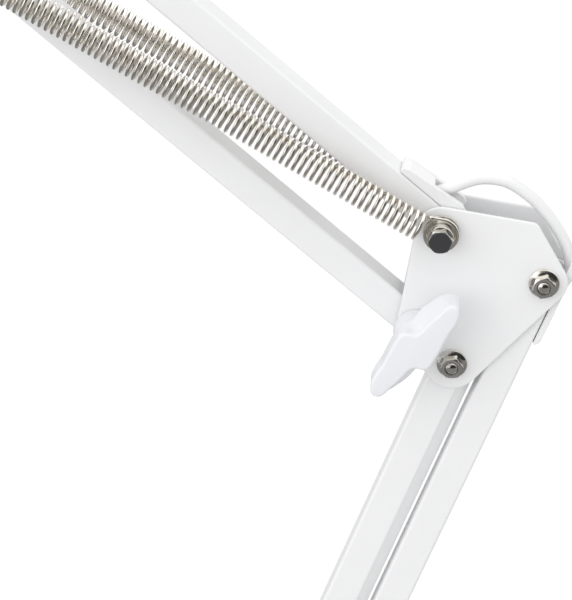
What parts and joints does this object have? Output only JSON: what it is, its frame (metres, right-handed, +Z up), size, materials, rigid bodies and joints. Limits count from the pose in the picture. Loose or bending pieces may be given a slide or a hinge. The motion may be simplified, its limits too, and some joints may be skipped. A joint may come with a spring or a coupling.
{
  "type": "desk lamp",
  "caption": "Desk lamp with a bell shade on spring-balanced parallelogram arms of square tube, swivelling on a screw clamp, with its mains lead threaded through the arms.",
  "frame": {"origin": "on the swivel axis, at the underside of the clamp jaw pad that rests on the desk", "axes": "+Z up along the swivel axis, -Y the front, -X towards the head and over the desk"},
  "size_m": [0.5509, 0.2262, 0.8873],
  "materials": {
    "white_paint": "semi-gloss powder coat",
    "white_plastic": "moulded, semi-gloss",
    "zinc_steel": "bright zinc plate",
    "dark_steel": "blackened",
    "spring_steel": "drawn wire",
    "black_rubber": "matt",
    "cord_sheath": "smooth sheath",
    "frosted_glass": "frosted"
  },
  "bodies": {
    "clamp": {"clamp_frame": "white_paint", "clamp_jaw_pad": "black_rubber", "socket_bush": "zinc_steel", "mains_cord": "cord_sheath", "cord_coil": "cord_sheath", "mains_tail": "cord_sheath", "mains_plug": "white_plastic"},
    "clamp_carriage": {"clamp_swivel_pad": "zinc_steel"},
    "clamp_spindle": {"clamp_screw": "dark_steel", "clamp_handle": "white_plastic"},
    "swivel_bracket": {"swivel_post": "zinc_steel", "post_block": "dark_steel", "base_plate_front": "white_paint", "base_plate_rear": "white_paint", "base_bolt_outer": "zinc_steel", "base_bolt_inner": "zinc_steel", "base_spring_pin": "zinc_steel", "cord_clip": "white_plastic", "spring_lower_front": "spring_steel", "spring_lower_rear": "spring_steel", "cord_base_loop": "cord_sheath"},
    "lower_outer_bar": {"lower_outer_tube": "white_paint", "guide_base": "white_plastic", "guide_elbow_lower": "white_plastic", "cord_lower_run": "cord_sheath"},
    "lower_inner_bar": {"lower_inner_tube": "white_paint", "spring_pin_lower": "zinc_steel"},
    "elbow": {"elbow_plate_front": "white_paint", "elbow_plate_rear": "white_paint", "elbow_bolt_a": "zinc_steel", "elbow_bolt_b": "zinc_steel", "elbow_bolt_c": "zinc_steel", "elbow_nut_a": "zinc_steel", "elbow_nut_b": "zinc_steel", "elbow_nut_c": "zinc_steel", "spring_spool_front": "zinc_steel", "spring_spool_rear": "zinc_steel", "spring_upper_front": "spring_steel", "spring_upper_rear": "spring_steel", "cord_elbow_loop": "cord_sheath"},
    "elbow_wing_knob": {"elbow_knob": "white_plastic"},
    "upper_top_bar": {"upper_top_tube": "white_paint", "guide_elbow_upper": "white_plastic", "guide_head": "white_plastic", "cord_upper_run": "cord_sheath"},
    "upper_bottom_bar": {"upper_bottom_tube": "white_paint", "spring_pin_upper": "zinc_steel"},
    "head_bracket": {"head_plate_front": "white_paint", "head_plate_rear": "white_paint", "head_bolt_a": "zinc_steel", "head_bolt_d": "zinc_steel", "cord_head_loop": "cord_sheath"},
    "head_wing_knob": {"head_knob": "white_plastic"},
    "shade_head": {"shade": "white_paint", "shade_lug": "white_paint", "lamp_housing": "white_plastic", "lamp_socket": "white_plastic", "bulb": "frosted_glass", "cord_relief": "white_plastic"},
    "switch": {"switch_button": "black_rubber"}
  },
  "joints": [
    {"name": "clamp_slide", "type": "slide", "parent": "clamp", "child": "clamp_carriage", "axis": [0, 0, 1], "range_m": [-0.0196, 0.0182]},
    {"name": "clamp_turn", "type": "hinge", "parent": "clamp_carriage", "child": "clamp_spindle", "pos_m": [-0.014, 0, -0.05], "axis": [0, 0, 1], "range_deg": [-4032, 3744]},
    {"name": "base_swivel", "type": "hinge", "parent": "clamp", "child": "swivel_bracket", "pos_m": [0, 0, 0.03], "axis": [0, 0, 1], "range_deg": [-150, 150], "deforming": ["mains_cord"]},
    {"name": "lower_arm", "type": "hinge", "parent": "swivel_bracket", "child": "lower_outer_bar", "pos_m": [0.018, 0, 0.094], "axis": [0, -1, 0], "range_deg": [-1.5, 42], "deforming": ["spring_lower_front", "spring_lower_rear", "cord_base_loop", "cord_elbow_loop"]},
    {"name": "lower_inner", "type": "hinge", "parent": "swivel_bracket", "child": "lower_inner_bar", "pos_m": [-0.0157, 0, 0.059], "axis": [0, -1, 0], "range_deg": [-1.5, 42]},
    {"name": "elbow_level", "type": "hinge", "parent": "lower_outer_bar", "child": "elbow", "pos_m": [0.1548, 0, 0.44852], "axis": [0, -1, 0], "range_deg": [-42, 1.5]},
    {"name": "elbow_knob_turn", "type": "hinge", "parent": "elbow", "child": "elbow_wing_knob", "pos_m": [0.1076, 0, 0.42652], "axis": [0, -1, 0], "range_deg": [-120, 150]},
    {"name": "upper_arm", "type": "hinge", "parent": "elbow", "child": "upper_top_bar", "pos_m": [0.1158, 0, 0.46802], "axis": [0, -1, 0], "range_deg": [-28, 48], "deforming": ["spring_upper_front", "spring_upper_rear", "cord_head_loop"]},
    {"name": "upper_bottom", "type": "hinge", "parent": "elbow", "child": "upper_bottom_bar", "pos_m": [0.1076, 0, 0.42652], "axis": [0, -1, 0], "range_deg": [-28, 48]},
    {"name": "head_level", "type": "hinge", "parent": "upper_top_bar", "child": "head_bracket", "pos_m": [-0.17444, 0, 0.7133], "axis": [0, -1, 0], "range_deg": [-48, 28]},
    {"name": "shade_tilt", "type": "hinge", "parent": "head_bracket", "child": "shade_head", "pos_m": [-0.21044, 0, 0.6853], "axis": [0, -1, 0], "range_deg": [-38, 30]},
    {"name": "head_knob_turn", "type": "hinge", "parent": "head_bracket", "child": "head_wing_knob", "pos_m": [-0.21044, 0, 0.6853], "axis": [0, -1, 0], "range_deg": [-120, 150]},
    {"name": "switch_press", "type": "slide", "parent": "shade_head", "child": "switch", "axis": [0.8829, 0, -0.4695], "range_m": [0, 0.0012], "stiffness_N_per_m": 400}
  ],
  "couplings": [
    {"joint": "clamp_turn", "follows": "clamp_slide", "rad_per_m": 3590.4},
    {"joint": "lower_inner", "follows": "lower_arm", "ratio": 1},
    {"joint": "elbow_level", "follows": "lower_arm", "ratio": -1},
    {"joint": "upper_bottom", "follows": "upper_arm", "ratio": 1},
    {"joint": "head_level", "follows": "upper_arm", "ratio": -1}
  ]
}
